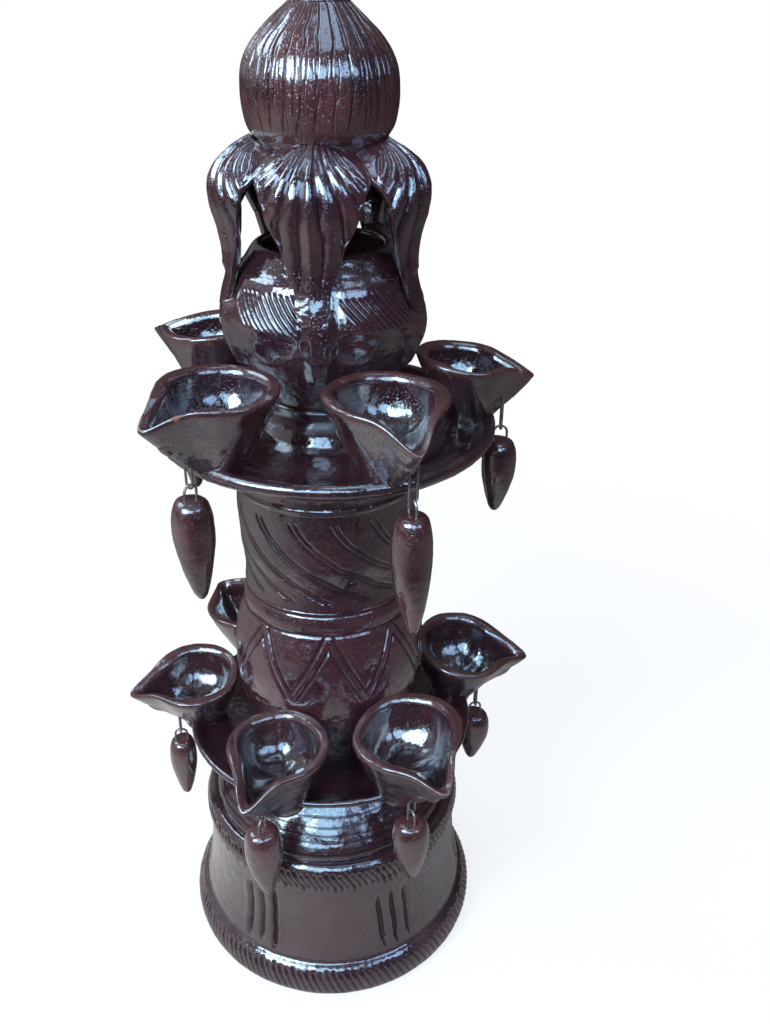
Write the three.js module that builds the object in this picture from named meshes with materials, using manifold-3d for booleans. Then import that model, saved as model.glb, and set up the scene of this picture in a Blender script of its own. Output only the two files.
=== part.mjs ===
// Tiered oil lamp of glazed terracotta: a bell base, two trays of spouted bowls with hanging clay
// drops, a barrel and neck column, and a pot with a leaf cage that carries a coconut finial.
// Millimetres, +Z up. The foot stands on z = 0. An azimuth is measured from -Y towards +X.
import * as THREE from 'three';
import { mergeVertices } from 'three/addons/utils/BufferGeometryUtils.js';
import Module from 'manifold-3d';

const wasm = await Module();
wasm.setup();

// Driving dimensions
const GAP = 0.35;
const FOOT_RADIUS = 103;
const BASE_TOP = 112;
const LOWER_TRAY_BOTTOM = 164;
const LOWER_TRAY_FLOOR = 170;
const LOWER_TRAY_RADIUS = 95;
const BARREL_TOP = 286;
const UPPER_TRAY_BOTTOM = 380;
const UPPER_TRAY_FLOOR = 388;
const UPPER_TRAY_RADIUS = 99.6;
const POT_BOTTOM = 408;
const COLLAR_TOP = 550;
const COCONUT_TOP = 611;
const TOTAL_HEIGHT = 623.5;
const LEAF_COUNT = 5;
const FIRST_LEAF = -6.5;
const RIM_HALF_WIDTH = 31.5;
const SPOUT_REACH = 47.5;
const SPOUT_SHARPNESS = 1.5;
const SPOUT_ROUNDING = 0.12;
const LIP_WIDTH = 6.4;
const BOWL_DEPTH = 28;
const WIRE_RADIUS = 0.75;
const HANG_RADIUS = 104;
const BOWL_LOOP_WIDTH = 5;
const DROP_LOOP_WIDTH = 8;
const DROP_LOOP_HEIGHT = 8.3;
const WIRE_EMBEDDED = 4.5;

// The two tiers: where the bowls' feet stand, and how far the wire loops hang below the bowls
const UPPER = { name: 'upper', seatRadius: 84, footRadius: 9.5, seat: 386, wireDrop: 12.5 };
const LOWER = { name: 'lower', seatRadius: 87, footRadius: 11, seat: 165, wireDrop: 8.5 };

// The lamp is thrown and pinched by hand, so each bowl has its own place: azimuth, radius and height
// of the rim's centre, outward tilt, sideways roll, turn of the spout, size, dip of the spout, azimuth
// of its hanging drop, and that drop's length and greatest radius
const BOWLS = [
  { tier: UPPER, az: -42, r: 83, z: 436, tilt: -1, roll: 2, yaw: -5, size: 1.03, dip: 10.5, hang: -44, drop: 62, fat: 11.6 },
  { tier: UPPER, az: 21, r: 84.5, z: 438, tilt: 0, roll: 1, yaw: -5, size: 1.05, dip: 12, hang: 25, drop: 78, fat: 11.5 },
  { tier: UPPER, az: 90, r: 80.5, z: 429, tilt: 6, roll: 0, yaw: 2, size: 0.89, dip: 7, hang: 88, drop: 50, fat: 11 },
  { tier: UPPER, az: 162, r: 83, z: 433, tilt: 3, roll: 0, yaw: 0, size: 1, dip: 8, hang: 162, drop: 58, fat: 11 },
  { tier: UPPER, az: -125, r: 82.5, z: 434, tilt: 4, roll: 1, yaw: 1, size: 1, dip: 7, hang: -124, drop: 60, fat: 11 },
  { tier: LOWER, az: -20, r: 93.5, z: 219, tilt: 1, roll: 1, yaw: -5, size: 0.97, dip: 13, hang: -25, drop: 56, fat: 11.5 },
  { tier: LOWER, az: 28, r: 96.5, z: 224, tilt: -2, roll: -9, yaw: -5, size: 1.06, dip: 10, hang: 28, drop: 52, fat: 11.4 },
  { tier: LOWER, az: 102, r: 94.5, z: 210, tilt: 6, roll: -10, yaw: -9, size: 1, dip: 8, hang: 97, drop: 45, fat: 10.5 },
  { tier: LOWER, az: 158, r: 94.5, z: 212, tilt: 2, roll: 0, yaw: 0, size: 1, dip: 8, hang: 158, drop: 50, fat: 11 },
  { tier: LOWER, az: -143, r: 95.5, z: 212, tilt: 2, roll: 4, yaw: -4, size: 1.04, dip: 7, hang: -144, drop: 50, fat: 11 },
  { tier: LOWER, az: -90, r: 91.5, z: 205, tilt: 4, roll: 8, yaw: 8, size: 0.93, dip: 7, hang: -86, drop: 48, fat: 9.8 },
];

const glaze = () => new THREE.MeshStandardMaterial({ color: 0x2b1715, roughness: 0.22, metalness: 0 });
const wire = () => new THREE.MeshStandardMaterial({ color: 0x6b5348, roughness: 0.5, metalness: 1 });
const group = new THREE.Group();
group.name = 'tiered_oil_lamp';

function addPart(name, geometry, material) {
  const mesh = new THREE.Mesh(geometry, material);
  mesh.name = name;
  group.add(mesh);
}

const radians = THREE.MathUtils.degToRad;

// Unit vectors at an azimuth: away from the axis, and sideways with the azimuth growing
function outward(azimuth) {
  const a = radians(azimuth);
  return new THREE.Vector3(Math.sin(a), -Math.cos(a), 0);
}

function sideways(azimuth) {
  const a = radians(azimuth);
  return new THREE.Vector3(Math.cos(a), Math.sin(a), 0);
}

function atAzimuth(azimuth, radius, height) {
  return outward(azimuth).multiplyScalar(radius).setZ(height);
}

// Joining and cutting of closed geometries
function toSolid(geometry) {
  const bare = geometry.clone();
  bare.deleteAttribute('normal');
  bare.deleteAttribute('uv');
  const merged = mergeVertices(bare, 1e-4);
  return new wasm.Manifold(new wasm.Mesh({
    numProp: 3,
    vertProperties: new Float32Array(merged.attributes.position.array),
    triVerts: new Uint32Array(merged.index.array),
  }));
}

function toGeometry(solid) {
  const mesh = solid.getMesh();
  const geometry = new THREE.BufferGeometry();
  geometry.setAttribute('position', new THREE.BufferAttribute(mesh.vertProperties, 3));
  geometry.setIndex(new THREE.BufferAttribute(mesh.triVerts, 1));
  geometry.computeVertexNormals();
  return geometry;
}

function cut(geometry, cutters) {
  let solid = toSolid(geometry);
  for (const cutter of cutters) {
    solid = solid.subtract(toSolid(cutter));
  }
  return toGeometry(solid);
}

// A smooth line through the given [radius, height] points
function smooth(points, steps) {
  const spline = new THREE.SplineCurve(points.map(([r, z]) => new THREE.Vector2(r, z)));
  return spline.getPoints(steps).map((p) => [p.x, p.y]);
}

// A turned piece: the closed [radius, height] profile runs up the outside and down the inside
function turned(profile, sides) {
  const points = profile.map(([r, z]) => new THREE.Vector2(r, z));
  points.push(points[0].clone());
  const lathe = new THREE.LatheGeometry(points, sides);
  lathe.rotateX(Math.PI / 2);
  return lathe;
}

// A turned wall of even thickness, open at both ends, with a plainer inside of every third point
function turnedWall(outside, wall, sides) {
  const last = outside.length - 1;
  const kept = outside.filter((point, i) => i % 3 === 0 || i === last);
  const inside = kept.map(([r, z]) => [r - wall, z]).reverse();
  return turned([...outside, ...inside], sides);
}

// A turned solid whose profile starts and ends on the axis
function turnedSolid(profile, sides) {
  const lathe = new THREE.LatheGeometry(profile.map(([r, z]) => new THREE.Vector2(r, z)), sides);
  lathe.rotateX(Math.PI / 2);
  return lathe;
}

// A closed skin over a row of equal loops, each loop anticlockwise seen from the last loop's side.
// The two end loops are closed by strips between their facing halves.
function loft(loops) {
  const count = loops[0].length;
  const positions = loops.flat().flatMap((p) => [p.x, p.y, p.z]);
  const index = [];
  for (let level = 0; level + 1 < loops.length; level += 1) {
    for (let i = 0; i < count; i += 1) {
      const a = level * count + i;
      const b = level * count + ((i + 1) % count);
      index.push(a, b, b + count, a, b + count, a + count);
    }
  }
  const closeLoop = (start, flip) => {
    for (let i = 0; i < count / 2 - 1; i += 1) {
      const quad = [i, i + 1, count - 2 - i, count - 1 - i].map((k) => start + k);
      const triangles = [[quad[0], quad[1], quad[2]], [quad[0], quad[2], quad[3]]];
      for (const [a, b, c] of triangles) {
        index.push(...(flip ? [a, c, b] : [a, b, c]));
      }
    }
  };
  closeLoop(0, true);
  closeLoop((loops.length - 1) * count, false);
  const geometry = new THREE.BufferGeometry();
  geometry.setAttribute('position', new THREE.Float32BufferAttribute(positions, 3));
  geometry.setIndex(index);
  geometry.computeVertexNormals();
  return geometry;
}

// Base: a bell that is open underneath, and a dome that closes it up to the lower tray
const BASE_SIDES = 40;
const bellOutside = [
  ...smooth([[94.5, 0], [100.5, 4], [FOOT_RADIUS, 12], [101, 21], [97.5, 28]], 6),
  ...smooth([[97, 30], [91.5, 48], [88.6, 70], [88, 92]], 4),
  ...smooth([[88.5, 95], [90.5, 102.5], [87, 110], [82.5, BASE_TOP]], 5),
];
addPart('base_bell', turnedWall(bellOutside, 9, BASE_SIDES), glaze());

const shoulderOutside = smooth(
  [[82, BASE_TOP + GAP], [81.5, 116], [76.5, 124], [68.5, 133.5], [61, 142], [56.5, 152], [56, LOWER_TRAY_BOTTOM]],
  8,
);
addPart('base_shoulder', turnedWall(shoulderOutside, 8, BASE_SIDES), glaze());

// Bowls: a conical body drawn from a round foot to a tear-shaped rim with a pinched spout
const BOWL_SIDES = 26;

// Distance of the rim's edge from its centre, by angle from the spout
function rimReach(angle, halfWidth, reach) {
  const taper = Math.acos(halfWidth / reach);
  const softened = Math.hypot(angle, SPOUT_ROUNDING) - SPOUT_ROUNDING;
  const part = Math.max(0, taper - softened);
  const rise = (1 / Math.cos(part) - 1) / (1 / Math.cos(taper) - 1);
  return halfWidth + (reach - halfWidth) * rise ** SPOUT_SHARPNESS;
}

// The bowl's own directions: along the spout, across it and up out of the rim
function bowlAxes(bowl) {
  const up = new THREE.Vector3(0, 0, 1);
  const across = sideways(bowl.az + bowl.yaw);
  const spout = outward(bowl.az + bowl.yaw).applyAxisAngle(across, radians(bowl.tilt));
  const normal = up.clone().applyAxisAngle(across, radians(bowl.tilt));
  across.applyAxisAngle(spout, radians(-bowl.roll));
  return { spout, across, normal, centre: atAzimuth(bowl.az, bowl.r, bowl.z) };
}

// One loop of the rim or of the inside: inset from the edge, shrunk towards the middle, lowered
function rimLoop(bowl, { inset = 0, lowered = 0, shrink = 1 }) {
  const { spout, across, normal, centre } = bowlAxes(bowl);
  const halfWidth = RIM_HALF_WIDTH * bowl.size - inset;
  const reach = SPOUT_REACH * bowl.size - 1.3 * inset;
  const loop = [];
  for (let i = 0; i < BOWL_SIDES; i += 1) {
    const angle = -Math.PI + (2 * Math.PI * (i + 0.5)) / BOWL_SIDES;
    const edge = rimReach(angle, halfWidth, reach);
    const dip = (bowl.dip * shrink * (edge - halfWidth)) / (reach - halfWidth);
    const point = centre.clone();
    point.addScaledVector(spout, edge * shrink * Math.cos(angle));
    point.addScaledVector(across, edge * shrink * Math.sin(angle));
    point.addScaledVector(normal, -lowered);
    point.z -= dip;
    loop.push(point);
  }
  return loop;
}

function footLoop(bowl, grow) {
  const centre = atAzimuth(bowl.az, bowl.tier.seatRadius, bowl.tier.seat - grow);
  const direction = outward(bowl.az + bowl.yaw);
  const across = sideways(bowl.az + bowl.yaw);
  const loop = [];
  for (let i = 0; i < BOWL_SIDES; i += 1) {
    const angle = -Math.PI + (2 * Math.PI * (i + 0.5)) / BOWL_SIDES;
    const point = centre.clone();
    point.addScaledVector(direction, (bowl.tier.footRadius + grow) * Math.cos(angle));
    point.addScaledVector(across, (bowl.tier.footRadius + grow) * Math.sin(angle));
    loop.push(point);
  }
  return loop;
}

function between(loopA, loopB, part) {
  return loopA.map((p, i) => p.clone().lerp(loopB[i], part));
}

function bowlGeometry(bowl) {
  const loops = [
    footLoop(bowl, 0),
    rimLoop(bowl, { lowered: 2 }),
    rimLoop(bowl, { inset: 1.3 }),
    rimLoop(bowl, { inset: LIP_WIDTH - 1.2 }),
    rimLoop(bowl, { inset: LIP_WIDTH, lowered: 1.5 }),
  ];
  for (const turn of [30, 58, 80]) {
    const shrink = Math.cos(radians(turn));
    const lowered = 1.5 + (BOWL_DEPTH * bowl.size - 1.5) * Math.sin(radians(turn));
    loops.push(rimLoop(bowl, { inset: LIP_WIDTH, lowered, shrink }));
  }
  return loft(loops);
}

// The body's lower part, grown by the gap, which cuts the bowl's seat into its tray
function seatCutter(bowl) {
  const foot = footLoop(bowl, GAP);
  const rim = rimLoop(bowl, { inset: -GAP, lowered: 2 });
  return loft([foot, between(foot, rim, 0.45)]);
}

// Height of the bowl's underside at a radius, straight below its spout
function undersideAt(bowl, radius) {
  const footEdge = bowl.tier.seatRadius + bowl.tier.footRadius;
  const spoutEdge = bowl.r + SPOUT_REACH * bowl.size;
  const spoutHeight = bowl.z - bowl.dip - 2 - SPOUT_REACH * bowl.size * Math.sin(radians(bowl.tilt));
  const part = (radius - footEdge) / (spoutEdge - footEdge);
  return bowl.tier.seat + part * (spoutHeight - bowl.tier.seat);
}

// Height at which a line straight up from under a bowl meets its clay
function clayAbove(geometry, place) {
  const clay = new THREE.Mesh(geometry, new THREE.MeshBasicMaterial({ side: THREE.DoubleSide }));
  const line = new THREE.Raycaster(place.clone().setZ(0), new THREE.Vector3(0, 0, 1));
  return line.intersectObject(clay)[0].point.z;
}

// Wire loops: a U of wire with a half-round bend, lying in the plane of the given direction and z
const WIRE_SIDES = 5;
const BEND_STEPS = 7;
const HOLE_RADIUS = WIRE_RADIUS + 1.3 * GAP;

class UBend extends THREE.Curve {
  constructor(bendCentre, direction, halfWidth, legLengths, upwards) {
    super();
    Object.assign(this, { bendCentre, direction, halfWidth, legLengths, upwards });
  }

  // Each leg is one step of the path, and the bend takes the rest
  getPoint(t, target = new THREE.Vector3()) {
    const step = t * (BEND_STEPS + 2);
    const angle = THREE.MathUtils.clamp((Math.PI * (step - 1)) / BEND_STEPS, 0, Math.PI);
    const [first, second] = this.legLengths;
    const straight = Math.max(0, 1 - step) * first + Math.max(0, step - BEND_STEPS - 1) * second;
    const rise = straight - this.halfWidth * Math.sin(angle);
    target.copy(this.bendCentre).addScaledVector(this.direction, -this.halfWidth * Math.cos(angle));
    target.z += this.upwards ? rise : -rise;
    return target;
  }

  getUtoTmapping(u) {
    return u;
  }
}

function wireLoop(path) {
  const corners = [];
  for (let i = 0; i < WIRE_SIDES; i += 1) {
    const a = (2 * Math.PI * i) / WIRE_SIDES;
    corners.push(new THREE.Vector2(WIRE_RADIUS * Math.cos(a), WIRE_RADIUS * Math.sin(a)));
  }
  return new THREE.ExtrudeGeometry(new THREE.Shape(corners), {
    steps: BEND_STEPS + 2,
    bevelEnabled: false,
    extrudePath: path,
  });
}

// Round holes with clearance for a loop's two legs, each from one height up to another
function legHoles(centre, direction, halfWidth, spans) {
  return [-1, 1].map((side, i) => {
    const [from, to] = spans[i];
    const hole = new THREE.CylinderGeometry(HOLE_RADIUS, HOLE_RADIUS, to - from, 7);
    hole.rotateX(Math.PI / 2);
    const place = centre.clone().addScaledVector(direction, side * halfWidth);
    hole.translate(place.x, place.y, (from + to) / 2);
    return hole;
  });
}

// Hanging drop: loops of the given radii down a slightly curved centre line, from blunt top to tip
const DROP_SIDES = 10;
const DROP_SHAPE = [
  [1, 0.16], [0.95, 0.36], [0.7, 0.68], [0.5, 0.9], [0.28, 1], [0.1, 0.88], [0, 0.55],
];

function dropGeometry(top, length, fat, lean) {
  const loops = DROP_SHAPE.map(([down, width]) => {
    const loop = [];
    for (let i = 0; i < DROP_SIDES; i += 1) {
      const a = (2 * Math.PI * (i + 0.5)) / DROP_SIDES;
      const point = new THREE.Vector3(Math.cos(a), Math.sin(a), 0).multiplyScalar(fat * width);
      point.add(top).addScaledVector(lean, down * down - 0.25 * down);
      point.z -= length * down;
      loop.push(point);
    }
    return loop;
  });
  return loft(loops);
}

const counters = { upper: 0, lower: 0 };
for (const bowl of BOWLS) {
  counters[bowl.tier.name] += 1;
  const label = `${bowl.tier.name}_%_${counters[bowl.tier.name]}`;
  const nameOf = (piece) => label.replace('%', piece);
  const underside = undersideAt(bowl, HANG_RADIUS);
  const across = sideways(bowl.hang);
  const radial = outward(bowl.hang);

  // The loop's lowest wire is the pivot that the drop's loop hangs on
  const pivot = atAzimuth(bowl.hang, HANG_RADIUS, underside - bowl.tier.wireDrop);
  const half = BOWL_LOOP_WIDTH / 2;
  const bendCentre = pivot.clone().setZ(pivot.z + half);
  const body = bowlGeometry(bowl);
  const entries = [-half, half].map((side) => clayAbove(body, pivot.clone().addScaledVector(across, side)));
  const legTops = entries.map((entry) => entry + WIRE_EMBEDDED);
  const bowlLoop = new UBend(bendCentre, across, half, legTops.map((top) => top - bendCentre.z), true);
  const legs = legHoles(pivot, across, half, legTops.map((top) => [top - 2 * WIRE_EMBEDDED, top + GAP]));

  const dropHalf = DROP_LOOP_WIDTH / 2;
  const dropTop = pivot.z + 2 * WIRE_RADIUS + GAP - DROP_LOOP_HEIGHT;
  const dropBend = pivot.clone().setZ(pivot.z + 2 * WIRE_RADIUS + GAP - dropHalf);
  const dropLegEnd = dropTop - WIRE_EMBEDDED;
  const dropLegLength = dropBend.z - dropLegEnd;
  const dropLoop = new UBend(dropBend, radial, dropHalf, [dropLegLength, dropLegLength], false);
  const dropHole = [dropLegEnd - GAP, dropTop + 3];
  const dropLegs = legHoles(pivot, radial, dropHalf, [dropHole, dropHole]);
  const lean = across.clone().multiplyScalar(3);

  addPart(nameOf('bowl'), cut(body, legs), glaze());
  addPart(nameOf('bowl_loop'), wireLoop(bowlLoop), wire());
  addPart(nameOf('drop_loop'), wireLoop(dropLoop), wire());
  const drop = dropGeometry(pivot.clone().setZ(dropTop), bowl.drop, bowl.fat, lean);
  addPart(nameOf('drop'), cut(drop, dropLegs), glaze());
}

// Trays: dished plates with a raised lip, let in at the edge where the bowls stand
const TRAY_SIDES = 36;
const lowerTray = turned([
  [44, LOWER_TRAY_BOTTOM + GAP],
  [60, LOWER_TRAY_BOTTOM + GAP],
  [82, LOWER_TRAY_BOTTOM + 1],
  [93, LOWER_TRAY_BOTTOM + 4.5],
  [LOWER_TRAY_RADIUS, LOWER_TRAY_BOTTOM + 8],
  [LOWER_TRAY_RADIUS - 1.5, LOWER_TRAY_BOTTOM + 9.8],
  [LOWER_TRAY_RADIUS - 4, LOWER_TRAY_BOTTOM + 9.2],
  [LOWER_TRAY_RADIUS - 10, LOWER_TRAY_FLOOR + 0.5],
  [60, LOWER_TRAY_FLOOR],
  [44, LOWER_TRAY_FLOOR],
], TRAY_SIDES);
const lowerSeats = BOWLS.filter((bowl) => bowl.tier === LOWER).map(seatCutter);
addPart('lower_tray', cut(lowerTray, lowerSeats), glaze());

const upperTray = turned([
  [32, UPPER_TRAY_BOTTOM + GAP],
  [66, UPPER_TRAY_BOTTOM + GAP],
  [86, UPPER_TRAY_BOTTOM + 2.5],
  [96, UPPER_TRAY_BOTTOM + 6],
  [UPPER_TRAY_RADIUS, UPPER_TRAY_BOTTOM + 9.5],
  [UPPER_TRAY_RADIUS - 0.8, UPPER_TRAY_BOTTOM + 12.5],
  [UPPER_TRAY_RADIUS - 3.5, UPPER_TRAY_BOTTOM + 14.5],
  [UPPER_TRAY_RADIUS - 6.6, UPPER_TRAY_BOTTOM + 14],
  [UPPER_TRAY_RADIUS - 12, UPPER_TRAY_FLOOR + 1.5],
  [70, UPPER_TRAY_FLOOR],
  [32, UPPER_TRAY_FLOOR],
], TRAY_SIDES);
const upperSeats = BOWLS.filter((bowl) => bowl.tier === UPPER).map(seatCutter);
addPart('upper_tray', cut(upperTray, upperSeats), glaze());

// Column: a barrel below and a flaring neck above
const COLUMN_SIDES = 36;
const barrelOutside = smooth(
  [[49, LOWER_TRAY_FLOOR + GAP], [53, 183], [59, 201], [61.6, 218], [62, 232], [60, 252], [54.6, 270], [52.1, BARREL_TOP]],
  11,
);
addPart('column_barrel', turnedWall(barrelOutside, 7, COLUMN_SIDES), glaze());

const neckOutside = smooth(
  [[51, BARREL_TOP + GAP], [51.8, 298], [53.7, 318], [54.7, 340], [55, 356], [58, 370], [64, UPPER_TRAY_BOTTOM]],
  7,
);
addPart('column_neck', turnedWall(neckOutside, 7, COLUMN_SIDES), glaze());

// Pot on its foot ring, open at the mouth inside the leaf cage
const footRing = [[37, UPPER_TRAY_FLOOR + GAP], [34, 395], [34, 402], [36, POT_BOTTOM]];
addPart('pot_foot', turnedWall(footRing, 8, 30), glaze());

const potProfile = [
  [0, POT_BOTTOM + GAP],
  ...smooth([[34, POT_BOTTOM + GAP], [44.2, 427], [49.8, 438], [54.6, 454], [53.6, 464], [49.8, 474], [46, 482], [41.5, 489], [36.5, 495]], 11),
  [33, 495],
  ...smooth([[33, 492], [39.5, 483], [44.5, 472], [48.5, 462], [49, 453], [44, 438], [37, 426], [26, 415]], 5),
  [0, 414],
];
addPart('kalash_pot', turnedSolid(potProfile, 36), glaze());

// Leaf cage: curved leaves that stand on the pot's shoulder and hold the collar and the coconut
const LEAF_THICKNESS = 4;
const LEAF_STEPS = 6;
// Outer radius, height and half width in degrees, from the tip on the pot's shoulder to the collar
const LEAF_PATH = [
  [59.2, 465, 5], [57.6, 471, 8], [54.4, 481, 9], [53.4, 491, 13], [55.4, 504, 20],
  [59, 518, 26], [58.6, 529, 29.5], [53.5, 538.5, 35.6], [45, 545, 35.5], [36.4, 549.7, 35.3],
];

// The leaf's inner surface lies one thickness in from the outer one, square to the path
function leafGeometry(azimuth) {
  const outer = LEAF_PATH.map(([r, z]) => new THREE.Vector2(r, z));
  const loops = LEAF_PATH.map(([, , halfWidth], i) => {
    const before = outer[Math.max(0, i - 1)];
    const after = outer[Math.min(outer.length - 1, i + 1)];
    const along = after.clone().sub(before).normalize();
    const inner = outer[i].clone().add(new THREE.Vector2(-along.y, along.x).multiplyScalar(LEAF_THICKNESS));
    const row = (point, from, to) => {
      const points = [];
      for (let k = 0; k <= LEAF_STEPS; k += 1) {
        points.push(atAzimuth(azimuth + from + ((to - from) * k) / LEAF_STEPS, point.x, point.y));
      }
      return points;
    };
    return [...row(outer[i], -halfWidth, halfWidth), ...row(inner, halfWidth, -halfWidth)];
  });
  return loft(loops);
}

for (let i = 0; i < LEAF_COUNT; i += 1) {
  addPart(`leaf_${i + 1}`, leafGeometry(FIRST_LEAF + (360 * i) / LEAF_COUNT), glaze());
}

const collarOutside = [[33.5, 540], [34, 545], [33.5, COLLAR_TOP]];
addPart('leaf_collar', turnedWall(collarOutside, 8, 30), glaze());

// Coconut finial with its pointed tip
const coconutOutside = smooth(
  [[36.5, COLLAR_TOP + GAP], [40.1, 561], [40.9, 574], [37.4, 588], [28.2, 600], [16, COCONUT_TOP]],
  9,
);
addPart('coconut', turnedWall(coconutOutside, 7, 36), glaze());

const tipProfile = [[0, COCONUT_TOP + GAP], [15.6, COCONUT_TOP + GAP], [12, 615], [7, 619.5], [0, TOTAL_HEIGHT]];
addPart('coconut_tip', turnedSolid(tipProfile, 24), glaze());

// The origin is set under the middle of the whole lamp, whose spouts don't reach equally far
const box = new THREE.Box3().setFromObject(group);
const middle = box.getCenter(new THREE.Vector3());
group.children.forEach((mesh) => mesh.geometry.translate(-middle.x, -middle.y, 0));

export default group;
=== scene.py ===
"""A tiered oil lamp of glazed clay: the looks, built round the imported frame.

Lengths are millimetres from the lamp's axis and the table, and become metres where a mesh is made.
An azimuth is in degrees from -Y, the side the camera looks at, towards +X.
"""
import math

import bpy
import numpy as np
from mathutils import Matrix, Vector


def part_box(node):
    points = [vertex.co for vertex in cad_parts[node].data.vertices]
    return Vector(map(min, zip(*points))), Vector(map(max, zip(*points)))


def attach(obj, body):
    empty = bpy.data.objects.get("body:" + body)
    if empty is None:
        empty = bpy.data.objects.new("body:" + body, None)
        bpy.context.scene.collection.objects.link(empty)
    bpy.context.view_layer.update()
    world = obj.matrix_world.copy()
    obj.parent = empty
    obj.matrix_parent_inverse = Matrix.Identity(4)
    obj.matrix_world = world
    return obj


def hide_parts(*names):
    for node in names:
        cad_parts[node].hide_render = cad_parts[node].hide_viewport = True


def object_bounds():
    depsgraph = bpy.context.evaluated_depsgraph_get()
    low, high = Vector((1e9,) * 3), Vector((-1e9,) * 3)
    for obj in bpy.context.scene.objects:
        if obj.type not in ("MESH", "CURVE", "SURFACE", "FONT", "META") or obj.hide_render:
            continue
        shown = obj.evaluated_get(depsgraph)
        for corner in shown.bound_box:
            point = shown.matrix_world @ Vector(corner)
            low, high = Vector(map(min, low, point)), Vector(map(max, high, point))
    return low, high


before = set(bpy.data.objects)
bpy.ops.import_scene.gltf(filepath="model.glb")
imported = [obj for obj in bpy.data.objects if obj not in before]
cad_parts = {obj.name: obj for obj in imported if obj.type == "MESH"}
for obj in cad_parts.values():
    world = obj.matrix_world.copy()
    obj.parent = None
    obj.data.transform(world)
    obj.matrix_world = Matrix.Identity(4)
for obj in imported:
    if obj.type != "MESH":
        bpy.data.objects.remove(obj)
cad_low, cad_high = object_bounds()

MM = 0.001
bell_low, bell_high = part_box("base_bell")
AXIS = np.array([(bell_low.x + bell_high.x) / 2, (bell_low.y + bell_high.y) / 2, 0.0])

# The camera, worked out from the photograph's ellipses
CAMERA_BACK = 547.0
CAMERA_HEIGHT = 627.0
CAMERA_PITCH = 28.73
CAMERA_PAN = 3.73
CAMERA_ROLL = 0.79
FOCAL_PIXELS = 1000.0
LONG_SIDE_PIXELS = 1024.0
SENSOR = 36.0
FLOOR_SIZE = 120.0

# The turned sections, as [radius, height] points up the outside
FOOT_BEAD = [[94.5, 0], [98.7, 1.9], [102, 6.5], [103, 12.5], [102.3, 17.8], [100.4, 22], [97.6, 25.2],
             [95, 26.8]]
FOOT_GROOVE = [[95, 26.8], [94.1, 28.2], [94.8, 30.2]]
BELL_WALL = [[94.8, 30.2], [93.6, 36], [91.1, 48], [89.3, 60], [88.4, 74], [88.0, 90]]
TOP_BEAD = [[88.0, 90], [88.9, 94.5], [90.2, 99], [90.3, 104], [88.6, 108.6], [85.4, 111.6], [82.6, 111.8]]
BELL_INSIDE = [[76, 109], [78, 100], [79, 80], [82, 50], [88, 26], [91.5, 10], [92, 0]]
DOME = [[82.4, 111.4], [82.0, 115.5], [76.5, 124], [68.5, 133.5], [61, 142], [56.5, 152], [56, 164.3]]
DOME_INSIDE = [[48, 164], [49, 150], [55, 138], [64, 126], [73, 114], [74, 111.5]]
LOWER_TRAY = [[60, 164.2], [82, 165.2], [91, 167.6], [94.6, 170.4], [94.9, 172.4], [93.4, 173.9],
              [90.6, 173.3], [85, 170.9], [70, 170.1], [46, 170]]
UPPER_TRAY = [[66, 380.2], [86, 382.4], [96, 385.8], [99.2, 389.2], [99.4, 392.2], [96.8, 394.5], [93, 394],
              [87.6, 389.7], [70, 388.1], [34, 388]]
BARREL = [[49, 169.5], [53, 183], [59, 201], [61.6, 218], [62, 232], [60, 252], [54.8, 270], [52.3, 286]]
NECK = [[52.3, 285.8], [51.8, 298], [53.7, 318], [54.7, 340], [55, 356], [58, 370], [65, 380.6]]
POT_FOOT = [[37.5, 387.5], [34.5, 395], [34, 402], [36.5, 408.5]]
POT = [[34, 408], [44.2, 427], [49.8, 438], [54.6, 454], [53.8, 464], [50, 474], [46, 482], [41.5, 489],
       [37.2, 494.4], [35, 495.4], [33.2, 494.2]]
POT_INSIDE = [[33.2, 492], [39.5, 483], [44.5, 472], [48.5, 462], [49, 453], [44, 438], [37, 426], [22, 414]]
COLLAR = [[33, 540], [34.2, 545], [35.5, 550.4]]
COCONUT = [[35.6, 549.5], [38.4, 554], [40.4, 562], [41, 573], [40, 582], [36.8, 589.5], [31.2, 597],
           [24, 604.2], [16, 611.2]]
TIP = [[15.6, 611.2], [13.2, 613.6], [10.4, 616.4], [7, 619.2], [3.8, 621.6], [1.6, 623]]

# The bowls' common form, and the two tiers they stand on
RIM_HALF_WIDTH = 31.5
SPOUT_REACH = 47.5
SPOUT_SHARPNESS = 1.5
SPOUT_ROUNDING = 0.12
LIP_WIDTH = 6.8
BOWL_DEPTH = 28.0
HANG_RADIUS = 104.0
WIRE_RADIUS = 0.75
BOWL_LOOP_WIDTH = 5.0
DROP_LOOP_WIDTH = 8.0
DROP_LOOP_HEIGHT = 8.3
WIRE_EMBEDDED = 4.5
JOINT_GAP = 0.35
UPPER = dict(name="upper", seat_radius=84, foot=9.5, seat=386, wire_drop=12.5)
LOWER = dict(name="lower", seat_radius=87, foot=11, seat=165, wire_drop=8.5)

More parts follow.
